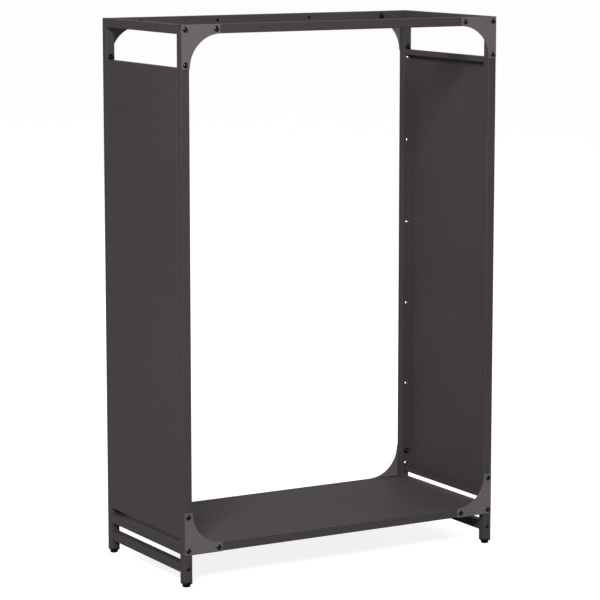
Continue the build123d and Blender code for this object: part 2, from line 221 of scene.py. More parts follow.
def powder_coated(name, powder, matt, peel_scale=900.0, tone_drift=0.25):
    """Baked powder in one colour, over steel."""
    material, tree, shader = bare_material(name)
    coat = plug(tree, "ShaderNodeGroup", node_tree=POWDER_COAT)
    coat.inputs["Powder"].default_value = (*powder, 1)
    coat.inputs["Matt"].default_value = matt
    coat.inputs["Peel Scale"].default_value = peel_scale
    coat.inputs["Tone Drift"].default_value = tone_drift
    relief = {"Strength": PEEL_STRENGTH, "Distance": PEEL_DEPTH, "Height": coat.outputs["Height"]}
    bump = plug(tree, "ShaderNodeBump", relief)
    tree.links.new(coat.outputs["Colour"], shader.inputs["Base Color"])
    tree.links.new(coat.outputs["Roughness"], shader.inputs["Roughness"])
    tree.links.new(bump.outputs[0], shader.inputs["Normal"])
    shader.inputs["Specular IOR Level"].default_value = COAT_SPECULAR
    return material


# ---------------------------------------------------------------------------
# Posts: four lengths of cold-formed square steel tube, saw-cut, drilled and
# powder coated. Their corners are rolled to a small radius.
# ---------------------------------------------------------------------------

TUBE_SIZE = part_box("post_front_left")[1].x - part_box("post_front_left")[0].x
TUBE_WALL = 0.001
TUBE_CORNER = 0.0012
SAW_CUT_EASE = 0.00025
HOLE_SIDES = 24
BORE_CORNER_SHARE = 0.6
MERGE_DISTANCE = 1e-6

TUBE_COAT = powder_coated("tube_powder_coat", (0.0355, 0.0295, 0.0315), 0.55)


def cut_tube_tree():
    """Square tube: two rounded squares filled to a ring, drawn out to a length, then put in place."""
    tree = bpy.data.node_groups.new("cut_tube", "GeometryNodeTree")
    face = tree.interface
    for name in ("Size", "Corner", "Wall", "Length"):
        face.new_socket(name, in_out="INPUT", socket_type="NodeSocketFloat")
    face.new_socket("Start", in_out="INPUT", socket_type="NodeSocketVector")
    face.new_socket("Turn", in_out="INPUT", socket_type="NodeSocketRotation")
    face.new_socket("Coat", in_out="INPUT", socket_type="NodeSocketMaterial")
    face.new_socket("Tube", in_out="OUTPUT", socket_type="NodeSocketGeometry")
    given = plug(tree, "NodeGroupInput").outputs

    def rounded_square(size, corner, steps):
        square = plug(tree, "GeometryNodeCurvePrimitiveQuadrilateral", {"Width": size, "Height": size})
        return plug(
            tree,
            "GeometryNodeFilletCurve",
            {"Curve": square.outputs[0], "Radius": corner, "Count": steps, "Limit Radius": True},
            mode="POLY",
        ).outputs[0]

    def less(value, amount, times):
        node = plug(tree, "ShaderNodeMath", operation="MULTIPLY_ADD")
        tree.links.new(amount, node.inputs[0])
        node.inputs[1].default_value = -times
        tree.links.new(value, node.inputs[2])
        return node.outputs[0]

    bore_size = less(given["Size"], given["Wall"], 2.0)
    bore_corner = less(given["Corner"], given["Wall"], BORE_CORNER_SHARE)
    ring = plug(tree, "GeometryNodeJoinGeometry")
    tree.links.new(rounded_square(bore_size, bore_corner, 3), ring.inputs[0])
    tree.links.new(rounded_square(given["Size"], given["Corner"], 5), ring.inputs[0])
    end = plug(tree, "GeometryNodeFillCurve", {"Curve": ring.outputs[0]}, mode="TRIANGLES").outputs[0]
    drawn = plug(
        tree,
        "GeometryNodeExtrudeMesh",
        {"Mesh": end, "Offset": (0, 0, 1), "Offset Scale": given["Length"], "Individual": False},
        mode="FACES",
    )
    near_end = plug(tree, "GeometryNodeFlipFaces", {"Mesh": end})
    whole = plug(tree, "GeometryNodeJoinGeometry")
    tree.links.new(near_end.outputs[0], whole.inputs[0])
    tree.links.new(drawn.outputs[0], whole.inputs[0])
    merged = plug(
        tree, "GeometryNodeMergeByDistance", {"Geometry": whole.outputs[0], "Distance": MERGE_DISTANCE}
    )
    placed = plug(
        tree,
        "GeometryNodeTransform",
        {"Geometry": merged.outputs[0], "Translation": given["Start"], "Rotation": given["Turn"]},
    )
    real = plug(tree, "GeometryNodeRealizeInstances", {"Geometry": placed.outputs[0]})
    coated = plug(tree, "GeometryNodeSetMaterial", {"Geometry": real.outputs[0], "Material": given["Coat"]})
    done = plug(tree, "NodeGroupOutput")
    tree.links.new(coated.outputs[0], done.inputs[0])
    return tree


CUT_TUBE = cut_tube_tree()


def grown(name, tree, values):
    """Run a geometry tree on an empty piece and keep the result as a plain mesh."""
    piece = bpy.data.objects.new(name, bpy.data.meshes.new(name))
    scene.collection.objects.link(piece)
    modifier = piece.modifiers.new(tree.name, "NODES")
    modifier.node_group = tree
    for item in tree.interface.items_tree:
        if item.item_type == "SOCKET" and item.in_out == "INPUT" and item.name in values:
            modifier[item.identifier] = values[item.name]
    return flattened(piece)


def flattened(piece):
    """Turn a piece's modifiers into its plain mesh."""
    bpy.context.view_layer.update()
    evaluated = piece.evaluated_get(bpy.context.evaluated_depsgraph_get())
    mesh = bpy.data.meshes.new_from_object(evaluated, depsgraph=bpy.context.evaluated_depsgraph_get())
    piece.modifiers.clear()
    piece.data = mesh
    return piece


def eased(piece, width, steps=2, angle=50):
    """Break the sharp edges of a piece, and let only its flat faces set the shading."""
    for polygon in piece.data.polygons:
        polygon.use_smooth = True
    bevel = piece.modifiers.new("ease", "BEVEL")
    bevel.width = width
    bevel.segments = steps
    bevel.limit_method = "ANGLE"
    bevel.angle_limit = math.radians(angle)
    bevel.use_clamp_overlap = True
    shading = piece.modifiers.new("shading", "WEIGHTED_NORMAL")
    shading.weight = 100
    return flattened(piece)


def drilled(piece, places, radius, depth):
    """Drill round holes along Y through a piece."""
    cutter_mesh = bmesh.new()
    for place in places:
        bmesh.ops.create_cone(
            cutter_mesh,
            cap_ends=True,
            segments=HOLE_SIDES,
            radius1=radius,
            radius2=radius,
            depth=depth,
            matrix=Matrix.Translation(place) @ Euler((math.pi / 2, 0, 0)).to_matrix().to_4x4(),
        )
    mesh = bpy.data.meshes.new("drill")
    cutter_mesh.to_mesh(mesh)
    cutter_mesh.free()
    mesh.materials.append(TUBE_COAT)
    drill = bpy.data.objects.new("drill", mesh)
    scene.collection.objects.link(drill)
    cut = piece.modifiers.new("drill", "BOOLEAN")
    cut.operation = "DIFFERENCE"
    cut.solver = "EXACT"
    cut.object = drill
    flattened(piece)
    bpy.data.objects.remove(drill)
    return piece


def tube_piece(node, holes=(), hole_radius=0.0):
    """The visible tube of a CAD tube node: it runs along the node's longest side."""
    low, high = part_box(node)
    span = high - low
    axis = max(range(3), key=lambda i: span[i])
    middle = (low + high) / 2
    start = middle.copy()
    start[axis] = low[axis]
    turn = {0: (0, math.pi / 2, 0), 1: (-math.pi / 2, 0, 0), 2: (0, 0, 0)}[axis]
    values = {
        "Size": TUBE_SIZE,
        "Corner": TUBE_CORNER,
        "Wall": TUBE_WALL,
        "Length": span[axis],
        "Start": start,
        "Turn": turn,
        "Coat": TUBE_COAT,
    }
    piece = grown(f"{node}_tube", CUT_TUBE, values)
    if holes:
        drilled(piece, holes, hole_radius, 3 * TUBE_SIZE)
    return eased(piece, SAW_CUT_EASE)


def fitted(piece, node):
    """A finished piece rides with the rack and stands for its CAD node."""
    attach(piece, "root")
    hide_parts(node)


for depth_name in ("front", "back"):
    for side_name in ("left", "right"):
        post = f"post_{depth_name}_{side_name}"
        fitted(tube_piece(post), post)


# ---------------------------------------------------------------------------
# Rails: the same tube, cut to fit between the posts. Four make the top, four
# carry the floor, and one more ties each pair of posts together near the feet.
# The back top rail is drilled right through for two wall-fixing screws.
# ---------------------------------------------------------------------------

WALL_HOLE_RADIUS = 0.0025
WALL_HOLE_FROM_MIDDLE = 0.090


for rail in (
    "top_rail_front",
    "top_rail_back",
    "top_rail_left",
    "top_rail_right",
    "bottom_rail_front",
    "bottom_rail_back",
    "bottom_rail_left",
    "bottom_rail_right",
    "foot_rail_left",
    "foot_rail_right",
):
    low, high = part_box(rail)
    centre = (low + high) / 2
    across = Vector((WALL_HOLE_FROM_MIDDLE, 0, 0))
    holes = (centre - across, centre + across) if rail == "top_rail_back" else ()
    fitted(tube_piece(rail, holes, WALL_HOLE_RADIUS), rail)


# ---------------------------------------------------------------------------
# Corner plates: eight flat plates cut from 1.5 mm steel, each with a quarter
# circle on its inner edge that runs into both tubes. They are screwed flat on
# the front and the back of the frame. Their coat is the tubes' powder, with its
# colour set lighter as a painted sheen.
# ---------------------------------------------------------------------------

PLATE_CORNER_RADIUS = 0.001
PLATE_EASE = 0.00022
ARC_STEPS = 36
# Painted sheen: the same anthracite powder as the tubes, set lighter in colour to stand in for light on the
# flat plates.
PLATE_COAT_PAINTED_SHEEN = powder_coated("plate_powder_painted_sheen", (0.0860, 0.0740, 0.0775), 0.5)


def piece_from(mesh, name, material):
    """A piece of the rack from a finished bmesh."""
    data = bpy.data.meshes.new(name)
    mesh.to_mesh(data)
    mesh.free()
    data.materials.append(material)
    piece = bpy.data.objects.new(name, data)
    scene.collection.objects.link(piece)
    return piece


def corner_plate_outline(inset, leg, width):
    """Points round a plate: u runs inwards from the post's outer side, v from the frame's outer edge."""
    points = []
    reach = leg - width
    for step in range(ARC_STEPS + 1):
        angle = math.pi / 2 * step / ARC_STEPS
        points.append((leg - reach * math.sin(angle), leg - reach * math.cos(angle)))
    for centre_u, centre_v, first in (
        (inset + PLATE_CORNER_RADIUS, leg - PLATE_CORNER_RADIUS, 90),
        (inset + PLATE_CORNER_RADIUS, PLATE_CORNER_RADIUS, 180),
        (leg - PLATE_CORNER_RADIUS, PLATE_CORNER_RADIUS, 270),
    ):
        for step in range(4):
            angle = math.radians(first + 30 * step)
            points.append((
                centre_u + PLATE_CORNER_RADIUS * math.cos(angle),
                centre_v + PLATE_CORNER_RADIUS * math.sin(angle),
            ))
    return points


def corner_plate_piece(node):
    """Flat plate between two equal outlines, turned to its own corner of the rack."""
    low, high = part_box(node)
    left, top = "left" in node, "_top_" in node
    inset = low.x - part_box("post_front_left")[0].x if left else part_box("post_front_right")[1].x - high.x
    outer_x = low.x - inset if left else high.x + inset
    outer_z = high.z if top else low.z
    into_x = 1 if left else -1
    into_z = -1 if top else 1
    mesh = bmesh.new()
    outline = corner_plate_outline(inset, high.z - low.z, TUBE_SIZE)
    near, far = (
        [mesh.verts.new((outer_x + into_x * u, y, outer_z + into_z * v)) for u, v in outline]
        for y in (low.y, high.y)
    )
    mesh.faces.new(near)
    mesh.faces.new(far)
    for i in range(len(outline)):
        j = (i + 1) % len(outline)
        mesh.faces.new((near[i], near[j], far[j], far[i]))
    bmesh.ops.recalc_face_normals(mesh, faces=mesh.faces)
    return eased(piece_from(mesh, f"{node}_plate", PLATE_COAT_PAINTED_SHEEN), PLATE_EASE)


for level in ("top", "bottom"):
    for depth_name in ("front", "back"):
        for side_name in ("left", "right"):
            plate = f"corner_plate_{level}_{depth_name}_{side_name}"
            fitted(corner_plate_piece(plate), plate)


# ---------------------------------------------------------------------------
# Side panels: one sheet of 0.8 mm steel each, notched at the corners and
# folded inwards on all four sides. The top and bottom folds turn once more
# into a small lip, which stiffens the sheet and hides its cut edge.
# ---------------------------------------------------------------------------

PANEL_SHEET = 0.0008
PANEL_BEND = 0.0014
PANEL_LIP = 0.009
BEND_STEPS = 5
SHEAR_EASE_SHARE = 0.18
SHEET_COAT = powder_coated("sheet_powder_coat", (0.0385, 0.0305, 0.0330), 0.58, tone_drift=0.35)


def fold_path(half, depth, bend, lip):
    """Section through one folded side: distance out from the middle, and depth behind the face."""
    path = []
    for step in range(BEND_STEPS + 1):
        angle = math.pi / 2 * step / BEND_STEPS
        path.append((half - bend + bend * math.sin(angle), bend - bend * math.cos(angle)))
    if not lip:
        return path + [(half, depth)]
    for step in range(BEND_STEPS + 1):
        angle = math.pi / 2 * step / BEND_STEPS
        path.append((half - bend + bend * math.cos(angle), depth - bend + bend * math.sin(angle)))
    return path + [(half - lip, depth)]


def folded_sheet(name, centre, along, up, inward, halves, depth, thickness, bend, lips, material):
    """Flat sheet with four folded sides; lips are the returns on the along sides and the up sides."""
    mesh = bmesh.new()
    half_along, half_up = halves

    def corner(a, b, d):
        return mesh.verts.new(centre + along * a + up * b + inward * d)

    flat_along, flat_up = half_along - bend, half_up - bend
    mesh.faces.new([corner(a, b, 0) for a, b in (
        (-flat_along, -flat_up), (flat_along, -flat_up), (flat_along, flat_up), (-flat_along, flat_up)
    )])
    for sign in (-1, 1):
        for path, width, across in (
            (fold_path(half_along, depth, bend, lips[0]), flat_up, False),
            (fold_path(half_up, depth, bend, lips[1]), flat_along, True),
        ):
            rows = []
            for out, deep in path:
                ends = [(sign * out, w) if not across else (w, sign * out) for w in (-width, width)]
                rows.append([corner(a, b, deep) for a, b in ends])
            for near, far in zip(rows, rows[1:]):
                mesh.faces.new((near[0], near[1], far[1], far[0]))
    bmesh.ops.remove_doubles(mesh, verts=mesh.verts, dist=MERGE_DISTANCE)
    bmesh.ops.recalc_face_normals(mesh, faces=mesh.faces)
    face = max(mesh.faces, key=lambda f: f.calc_area())
    if face.normal.dot(inward) > 0:
        bmesh.ops.reverse_faces(mesh, faces=mesh.faces)
    piece = piece_from(mesh, name, material)
    wall = piece.modifiers.new("wall", "SOLIDIFY")
    wall.thickness = thickness
    wall.offset = -1
    wall.use_even_offset = True
    flattened(piece)
    return eased(piece, thickness * SHEAR_EASE_SHARE, steps=1, angle=60)


for side_name, inward in (("left", Vector((1, 0, 0))), ("right", Vector((-1, 0, 0)))):
    node = f"side_panel_{side_name}"
    low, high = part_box(node)
    centre = (low + high) / 2
    centre.x = low.x if side_name == "left" else high.x
    panel = folded_sheet(
        f"{node}_sheet",
        centre,
        Vector((0, 1, 0)),
        Vector((0, 0, 1)),
        inward,
        ((high.y - low.y) / 2, (high.z - low.z) / 2),
        high.x - low.x,
        PANEL_SHEET,
        PANEL_BEND,
        (0, PANEL_LIP),
        SHEET_COAT,
    )
    fitted(panel, node)


# ---------------------------------------------------------------------------
# Floor: a sheet of 1 mm steel folded down on all four sides, so that it drops
# between the bottom rails with its face level with their tops. Screws go
# through its folded sides into the rails.
# ---------------------------------------------------------------------------

FLOOR_SHEET = 0.001
FLOOR_BEND = 0.0014

low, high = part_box("floor_tray")
centre = (low + high) / 2
centre.z = high.z
floor_tray = folded_sheet(
    "floor_tray_sheet",
    centre,
    Vector((1, 0, 0)),
    Vector((0, 1, 0)),
    Vector((0, 0, -1)),
    ((high.x - low.x) / 2, (high.y - low.y) / 2),
    high.z - low.z,
    FLOOR_SHEET,
    FLOOR_BEND,
    (0, 0),
    SHEET_COAT,
)
fitted(floor_tray, "floor_tray")


# ---------------------------------------------------------------------------
# Feet and post caps: black polyethylene mouldings. A foot has a plug with
# thin ribs pressed in the post, a square flange under the cut end and a round
# pad on the floor; a cap is a thin lid over a shallow plug.
# ---------------------------------------------------------------------------

MOULDED_STEPS = 6
FOOT_PAD_SIZE = 0.0134
FOOT_PAD_HEIGHT = 0.005
PLUG_PLAY = 0.0001


def mottled_group():
    """Cloudy change between two tones and two degrees of gloss, from the piece's own coordinates."""
    group = bpy.data.node_groups.new("mottled_finish", "ShaderNodeTree")
    face = group.interface
    for name in ("Scale", "Detail", "Darkest At", "Lightest At", "Glossiest", "Mattest"):
        face.new_socket(name, in_out="INPUT", socket_type="NodeSocketFloat")
    for name in ("Dark", "Light"):
        face.new_socket(name, in_out="INPUT", socket_type="NodeSocketColor")
    face.new_socket("Colour", in_out="OUTPUT", socket_type="NodeSocketColor")
    face.new_socket("Roughness", in_out="OUTPUT", socket_type="NodeSocketFloat")
    face.new_socket("Height", in_out="OUTPUT", socket_type="NodeSocketFloat")
    given = plug(group, "NodeGroupInput").outputs
    where = plug(group, "ShaderNodeTexCoord").outputs["Object"]
    cloud = plug(
        group, "ShaderNodeTexNoise", {"Vector": where, "Scale": given["Scale"], "Detail": given["Detail"]}
    ).outputs[0]
    share = plug(
        group,
        "ShaderNodeMapRange",
        {"Value": cloud, "From Min": given["Darkest At"], "From Max": given["Lightest At"]},
    ).outputs[0]
    tone = plug(
        group,
        "ShaderNodeMix",
        {"Factor": share, "A": given["Dark"], "B": given["Light"]},
        data_type="RGBA",
    )
    matt = plug(
        group,
        "ShaderNodeMapRange",
        {"Value": cloud, "To Min": given["Glossiest"], "To Max": given["Mattest"]},
    )
    done = plug(group, "NodeGroupOutput")
    group.links.new(next(s for s in tone.outputs if s.enabled), done.inputs["Colour"])
    group.links.new(matt.outputs[0], done.inputs["Roughness"])
    group.links.new(cloud, done.inputs["Height"])
    return group


MOTTLED = mottled_group()


def mottled(name, scale, detail, span, dark, light, gloss):
    """Material with the mottled finish: span is its darkest and lightest noise, gloss its roughness range."""
    material, tree, shader = bare_material(name)
    finish = plug(tree, "ShaderNodeGroup", node_tree=MOTTLED)
    values = {
        "Scale": scale,
        "Detail": detail,
        "Darkest At": span[0],
        "Lightest At": span[1],
        "Dark": (*dark, 1),
        "Light": (*light, 1),
        "Glossiest": gloss[0],
        "Mattest": gloss[1],
    }
    for key, value in values.items():
        finish.inputs[key].default_value = value
    tree.links.new(finish.outputs["Colour"], shader.inputs["Base Color"])
    tree.links.new(finish.outputs["Roughness"], shader.inputs["Roughness"])
    return material, tree, shader, finish


def black_plastic():
    """Moulded polyethylene: near black, with a soft scuffed sheen and a fine spark-eroded grain."""
    material, tree, shader, _ = mottled(
        "moulded_black_plastic",
        160.0,
        4.0,
        (0.35, 0.75),
        (0.0012, 0.0012, 0.0013),
        (0.0032, 0.0032, 0.0035),
        (0.30, 0.46),
    )
    where = plug(tree, "ShaderNodeTexCoord").outputs["Object"]
    grain = plug(tree, "ShaderNodeTexNoise", {"Vector": where, "Scale": 2600.0, "Detail": 2.0}).outputs[0]
    bump = plug(tree, "ShaderNodeBump", {"Strength": 0.3, "Distance": 0.0002, "Height": grain})
    tree.links.new(bump.outputs[0], shader.inputs["Normal"])
    shader.inputs["Specular IOR Level"].default_value = 0.12
    return material


BLACK_PLASTIC = black_plastic()


def rounded_square(size, corner, z):
    """Loop of points round a square with rounded corners; a corner of half the size makes a circle."""
    loop = []
    reach = size / 2 - corner
    for quarter in range(4):
        for step in range(MOULDED_STEPS + 1):
            angle = math.pi / 2 * (quarter + step / MOULDED_STEPS)
            sign_x = 1 if quarter in (0, 3) else -1
            sign_y = 1 if quarter in (0, 1) else -1
            loop.append((
                sign_x * reach + corner * math.cos(angle),
                sign_y * reach + corner * math.sin(angle),
                z,
            ))
    return loop


def skinned(loops, ring=False):
    """Skin over a stack of loops with equal counts; a ring joins the last loop to the first."""
    mesh = bmesh.new()
    rows = [[mesh.verts.new(point) for point in loop] for loop in loops]
    pairs = list(zip(rows, rows[1:]))
    if ring:
        pairs.append((rows[-1], rows[0]))
    else:
        mesh.faces.new(rows[0])
        mesh.faces.new(rows[-1])
    count = len(rows[0])
    for near, far in pairs:
        for i in range(count):
            j = (i + 1) % count
            mesh.faces.new((near[i], near[j], far[j], far[i]))
    bmesh.ops.remove_doubles(mesh, verts=mesh.verts, dist=1e-7)
    bmesh.ops.recalc_face_normals(mesh, faces=mesh.faces)
    return mesh


def foot_loops(flange, flange_z, top_z, plug_top):
    """From the pad's underside up to the plug's top."""
    pad = FOOT_PAD_SIZE
    plug_size = TUBE_SIZE - 2 * TUBE_WALL - PLUG_PLAY
    loops = [rounded_square(pad - 2 * inset, pad / 2 - inset, z) for inset, z in (
        (0.0016, 0.0), (0.0009, 0.0002), (0.0003, 0.0008), (0.0, 0.0017), (-0.00005, flange_z - 0.0005)
    )]
    loops += [rounded_square(size, corner, z) for size, corner, z in (
        (pad + 0.0004, pad / 2 - 0.0002, flange_z),
        (flange - 0.0016, 0.0030, flange_z + 0.0001),
        (flange - 0.0006, 0.0026, flange_z + 0.0008),
        (flange, 0.0022, flange_z + 0.0018),
        (flange, 0.0022, top_z - 0.0004),
        (flange - 0.0006, 0.0020, top_z),
        (plug_size, 0.0008, top_z),
        (plug_size, 0.0008, plug_top - 0.001),
        (plug_size - 0.002, 0.0006, plug_top),
    )]
    return loops


def moved_to(mesh, place):
    """Shift a mesh from the origin to its place."""
    bmesh.ops.translate(mesh, vec=place, verts=mesh.verts)
    return mesh


def shaded(piece, angle=32):
    """Smooth shading that keeps the edges sharper than an angle."""
    for polygon in piece.data.polygons:
        polygon.use_smooth = True
    piece.data.set_sharp_from_angle(angle=math.radians(angle))
    return piece


CAP_CROWN = 0.0003

for depth_name in ("front", "back"):
    for side_name in ("left", "right"):
        post_low, post_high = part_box(f"post_{depth_name}_{side_name}")
        over = ((post_low.x + post_high.x) / 2, (post_low.y + post_high.y) / 2, 0)

        node = f"foot_{depth_name}_{side_name}"
        low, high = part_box(node)
        loops = foot_loops(high.x - low.x, FOOT_PAD_HEIGHT, post_low.z, high.z)
        foot = piece_from(moved_to(skinned(loops), over), f"{node}_moulding", BLACK_PLASTIC)
        fitted(shaded(foot), node)

        node = f"post_cap_{depth_name}_{side_name}"
        low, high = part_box(node)
        lid = high.x - low.x
        loops = [rounded_square(size, corner, z) for size, corner, z in (
            (TUBE_SIZE - 0.0023, 0.0007, low.z),
            (TUBE_SIZE - 0.0021, 0.0008, post_high.z),
            (lid, TUBE_CORNER, post_high.z),
            (lid, TUBE_CORNER, high.z - 0.0005),
            (lid - 0.0004, TUBE_CORNER, high.z - CAP_CROWN * 0.6),
            (lid - 0.0014, 0.0010, high.z - CAP_CROWN * 0.25),
            (lid - 0.0060, 0.0010, high.z),
        )]
        cap = piece_from(moved_to(skinned(loops), over), f"{node}_moulding", BLACK_PLASTIC)
        fitted(shaded(cap), node)


# ---------------------------------------------------------------------------
# Black screws: M5 button heads with a hexagon socket, in black-coated steel.
# Three hold each corner plate. The ones at the corners go on through the post
# into the side rail's threaded insert; the others end in a nut.
# ---------------------------------------------------------------------------

BOLT_HEAD_RADIUS = 0.00475
BOLT_HEAD_HEIGHT = 0.0026
BOLT_SHANK_RADIUS = 0.00245
SOCKET_RADIUS = 0.00165
SOCKET_DEPTH = 0.0015
THREAD_PITCH = 0.0008
THREAD_DEPTH = 0.0004
THREAD_LENGTH = 0.0036
HEAD_SIDES = 36
FOOT_BOLT_SHARE = 4.0 / 4.75
TURN_SEED = 7
HEAD_RIM = 0.0003
DOME_STEPS = 8
SOCKET_CORNERS_CLEAR = 1.22


def black_finish():
    """Black electro-coated steel: glossy enough for a small lamp highlight, with a fine speckle."""
    material, tree, shader, finish = mottled(
        "black_coated_steel",
        2200.0,
        3.0,
        (0.3, 0.8),
        (0.0014, 0.0014, 0.0016),
        (0.0040, 0.0038, 0.0040),
        (0.16, 0.26),
    )
    relief = {"Strength": 0.15, "Distance": 0.0001, "Height": finish.outputs["Height"]}
    bump = plug(tree, "ShaderNodeBump", relief)
    tree.links.new(bump.outputs[0], shader.inputs["Normal"])
    shader.inputs["Specular IOR Level"].default_value = 0.24
    return material


BLACK_STEEL = black_finish()


def polar_loop(radius_at, z_at, sides=HEAD_SIDES):
    """Loop whose radius and height are functions of the angle."""
    loop = []
    for i in range(sides):
        angle = 2 * math.pi * i / sides
        radius = radius_at(angle)
        loop.append((radius * math.cos(angle), radius * math.sin(angle), z_at(angle)))
    return loop


def round_loop(radius, z, sides=HEAD_SIDES):
    """Level circle of points."""
    return polar_loop(lambda angle: radius, lambda angle: z, sides)


def hexagon_radius(flat_radius):
    """Radius of a hexagon at an angle, from its middle to a flat."""
    def radius_at(angle):
        return flat_radius / math.cos((angle + math.pi / 6) % (math.pi / 3) - math.pi / 6)
    return radius_at


def thread_loops(low_z, high_z):
    """Screw thread between two heights: each turn of the helix is one pitch."""
    steps = round((high_z - low_z) / (THREAD_PITCH / 4))
    loops = []
    for step in range(steps + 1):
        z = low_z + (high_z - low_z) * step / steps

        def radius_at(angle, z=z):
            turn = (z / THREAD_PITCH - angle / (2 * math.pi)) % 1
            return BOLT_SHANK_RADIUS - THREAD_DEPTH * abs(2 * turn - 1)

        loops.append(polar_loop(radius_at, lambda angle, z=z: z))
    return loops


def button_screw(length, share=1.0):
    """Whole screw, its seat at z = 0, built from the tip up, over the dome and down into the socket."""
    loops = [round_loop(BOLT_SHANK_RADIUS - 0.0007, -length)]
    loops += thread_loops(-length + 0.0004, -length + THREAD_LENGTH)
    loops.append(round_loop(BOLT_SHANK_RADIUS, -length + THREAD_LENGTH + 0.0002))
    loops.append(round_loop(BOLT_SHANK_RADIUS, 0))
    radius, height = BOLT_HEAD_RADIUS * share, BOLT_HEAD_HEIGHT * share
    loops += [round_loop(radius - 0.00015, 0), round_loop(radius, 0.0001), round_loop(radius, HEAD_RIM)]
    crown = height - HEAD_RIM
    dome = (radius**2 + crown**2) / (2 * crown)
    widest = math.asin(radius / dome)
    socket = SOCKET_RADIUS * share
    narrowest = math.asin(socket * SOCKET_CORNERS_CLEAR / dome)
    for step in range(1, DOME_STEPS + 1):
        angle = widest + (narrowest - widest) * step / DOME_STEPS
        loops.append(round_loop(dome * math.sin(angle), height - dome + dome * math.cos(angle)))
    mouth = height - dome + dome * math.cos(narrowest)
    loops.append(polar_loop(hexagon_radius(socket), lambda angle: mouth - 0.0002))
    loops.append(polar_loop(hexagon_radius(socket), lambda angle: mouth - SOCKET_DEPTH * share))
    loops.append(round_loop(socket * 0.3, mouth - SOCKET_DEPTH * share - 0.0003))
    return skinned(loops)


def fastener_row_tree():
    """A row of equal fasteners: evenly spaced, all facing one way, each turned by chance on its own axis."""
    tree = bpy.data.node_groups.new("fastener_row", "GeometryNodeTree")
    face = tree.interface
    face.new_socket("Fastener", in_out="INPUT", socket_type="NodeSocketObject")
    face.new_socket("First", in_out="INPUT", socket_type="NodeSocketVector")
    face.new_socket("Step", in_out="INPUT", socket_type="NodeSocketVector")
    face.new_socket("Count", in_out="INPUT", socket_type="NodeSocketInt")
    face.new_socket("Facing", in_out="INPUT", socket_type="NodeSocketVector")
    face.new_socket("Seed", in_out="INPUT", socket_type="NodeSocketInt")
    face.new_socket("Finish", in_out="INPUT", socket_type="NodeSocketMaterial")
    face.new_socket("Row", in_out="OUTPUT", socket_type="NodeSocketGeometry")
    given = plug(tree, "NodeGroupInput").outputs
    line = plug(
        tree,
        "GeometryNodeMeshLine",
        {"Count": given["Count"], "Start Location": given["First"], "Offset": given["Step"]},
    )
    one = plug(tree, "GeometryNodeObjectInfo", {"Object": given["Fastener"]}).outputs["Geometry"]
    heading = plug(tree, "FunctionNodeAlignRotationToVector", {"Vector": given["Facing"]}, axis="Z")
    stood = plug(
        tree,
        "GeometryNodeInstanceOnPoints",
        {"Points": line.outputs[0], "Instance": one, "Rotation": heading.outputs[0]},
    )
    any_turn = {"Min": 0.0, "Max": 2 * math.pi, "Seed": given["Seed"]}
    chance = plug(tree, "FunctionNodeRandomValue", any_turn, data_type="FLOAT")
    value = next(s for s in chance.outputs if s.enabled)
    spin = plug(tree, "ShaderNodeCombineXYZ", {"Z": value})
    turned = plug(
        tree,
        "GeometryNodeRotateInstances",
        {"Instances": stood.outputs[0], "Rotation": spin.outputs[0], "Local Space": True},
    )
    real = plug(tree, "GeometryNodeRealizeInstances", {"Geometry": turned.outputs[0]})
    finish = {"Geometry": real.outputs[0], "Material": given["Finish"]}
    finished = plug(tree, "GeometryNodeSetMaterial", finish)
    done = plug(tree, "NodeGroupOutput")
    tree.links.new(finished.outputs[0], done.inputs[0])
    return tree


FASTENER_ROW = fastener_row_tree()


def fastener_set(name, mesh, rows, finish, sharp=32):
    """One piece for all the equal fasteners in a list of rows: (first, step, count, facing)."""
    one = piece_from(mesh, f"{name}_one", finish)
    shaded(one, sharp)
    whole = bmesh.new()
    for number, (first, step, count, facing) in enumerate(rows):
        values = {
            "Fastener": one,
            "First": first,
            "Step": step,
            "Count": count,
            "Facing": facing,
            "Seed": TURN_SEED + number,
            "Finish": finish,
        }
        row = grown(f"{name}_row", FASTENER_ROW, values)
        whole.from_mesh(row.data)
        bpy.data.objects.remove(row)
    bpy.data.objects.remove(one)
    return piece_from(whole, name, finish)


def centre_of(node):
    """Middle of a CAD node's box."""
    low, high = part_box(node)
    return (low + high) / 2


def outward(side):
    """Sign of the direction that points out of the rack on a side."""
    return -1 if side in ("front", "left") else 1


POST_X = centre_of("post_front_right").x
RAIL_SCREW_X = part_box("plate_rail_screws")[1].x - BOLT_HEAD_RADIUS
PLATE_FACE_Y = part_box("corner_plate_top_back_left")[1].y
POST_FACE_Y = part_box("post_back_left")[1].y
INNER_FACE_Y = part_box("post_back_left")[0].y
TOP_RAIL_Z = centre_of("top_rail_front").z
BOTTOM_RAIL_Z = centre_of("bottom_rail_front").z
FOOT_RAIL_Z = centre_of("foot_rail_left").z
SCREW_PITCH = POST_X - RAIL_SCREW_X
CORNER_SCREW_LENGTH = 0.030
NUT_SCREW_LENGTH = 0.0215


def pairs_across(half_x, levels, y, facing_sign):
    """Left and right screws at each level, on the front and on the back."""
    rows = []
    for side in (-1, 1):
        for z in levels:
            rows.append((
                Vector((-half_x, side * y, z)),
                Vector((2 * half_x, 0, 0)),
                2,
                Vector((0, side * facing_sign, 0)),
            ))
    return rows


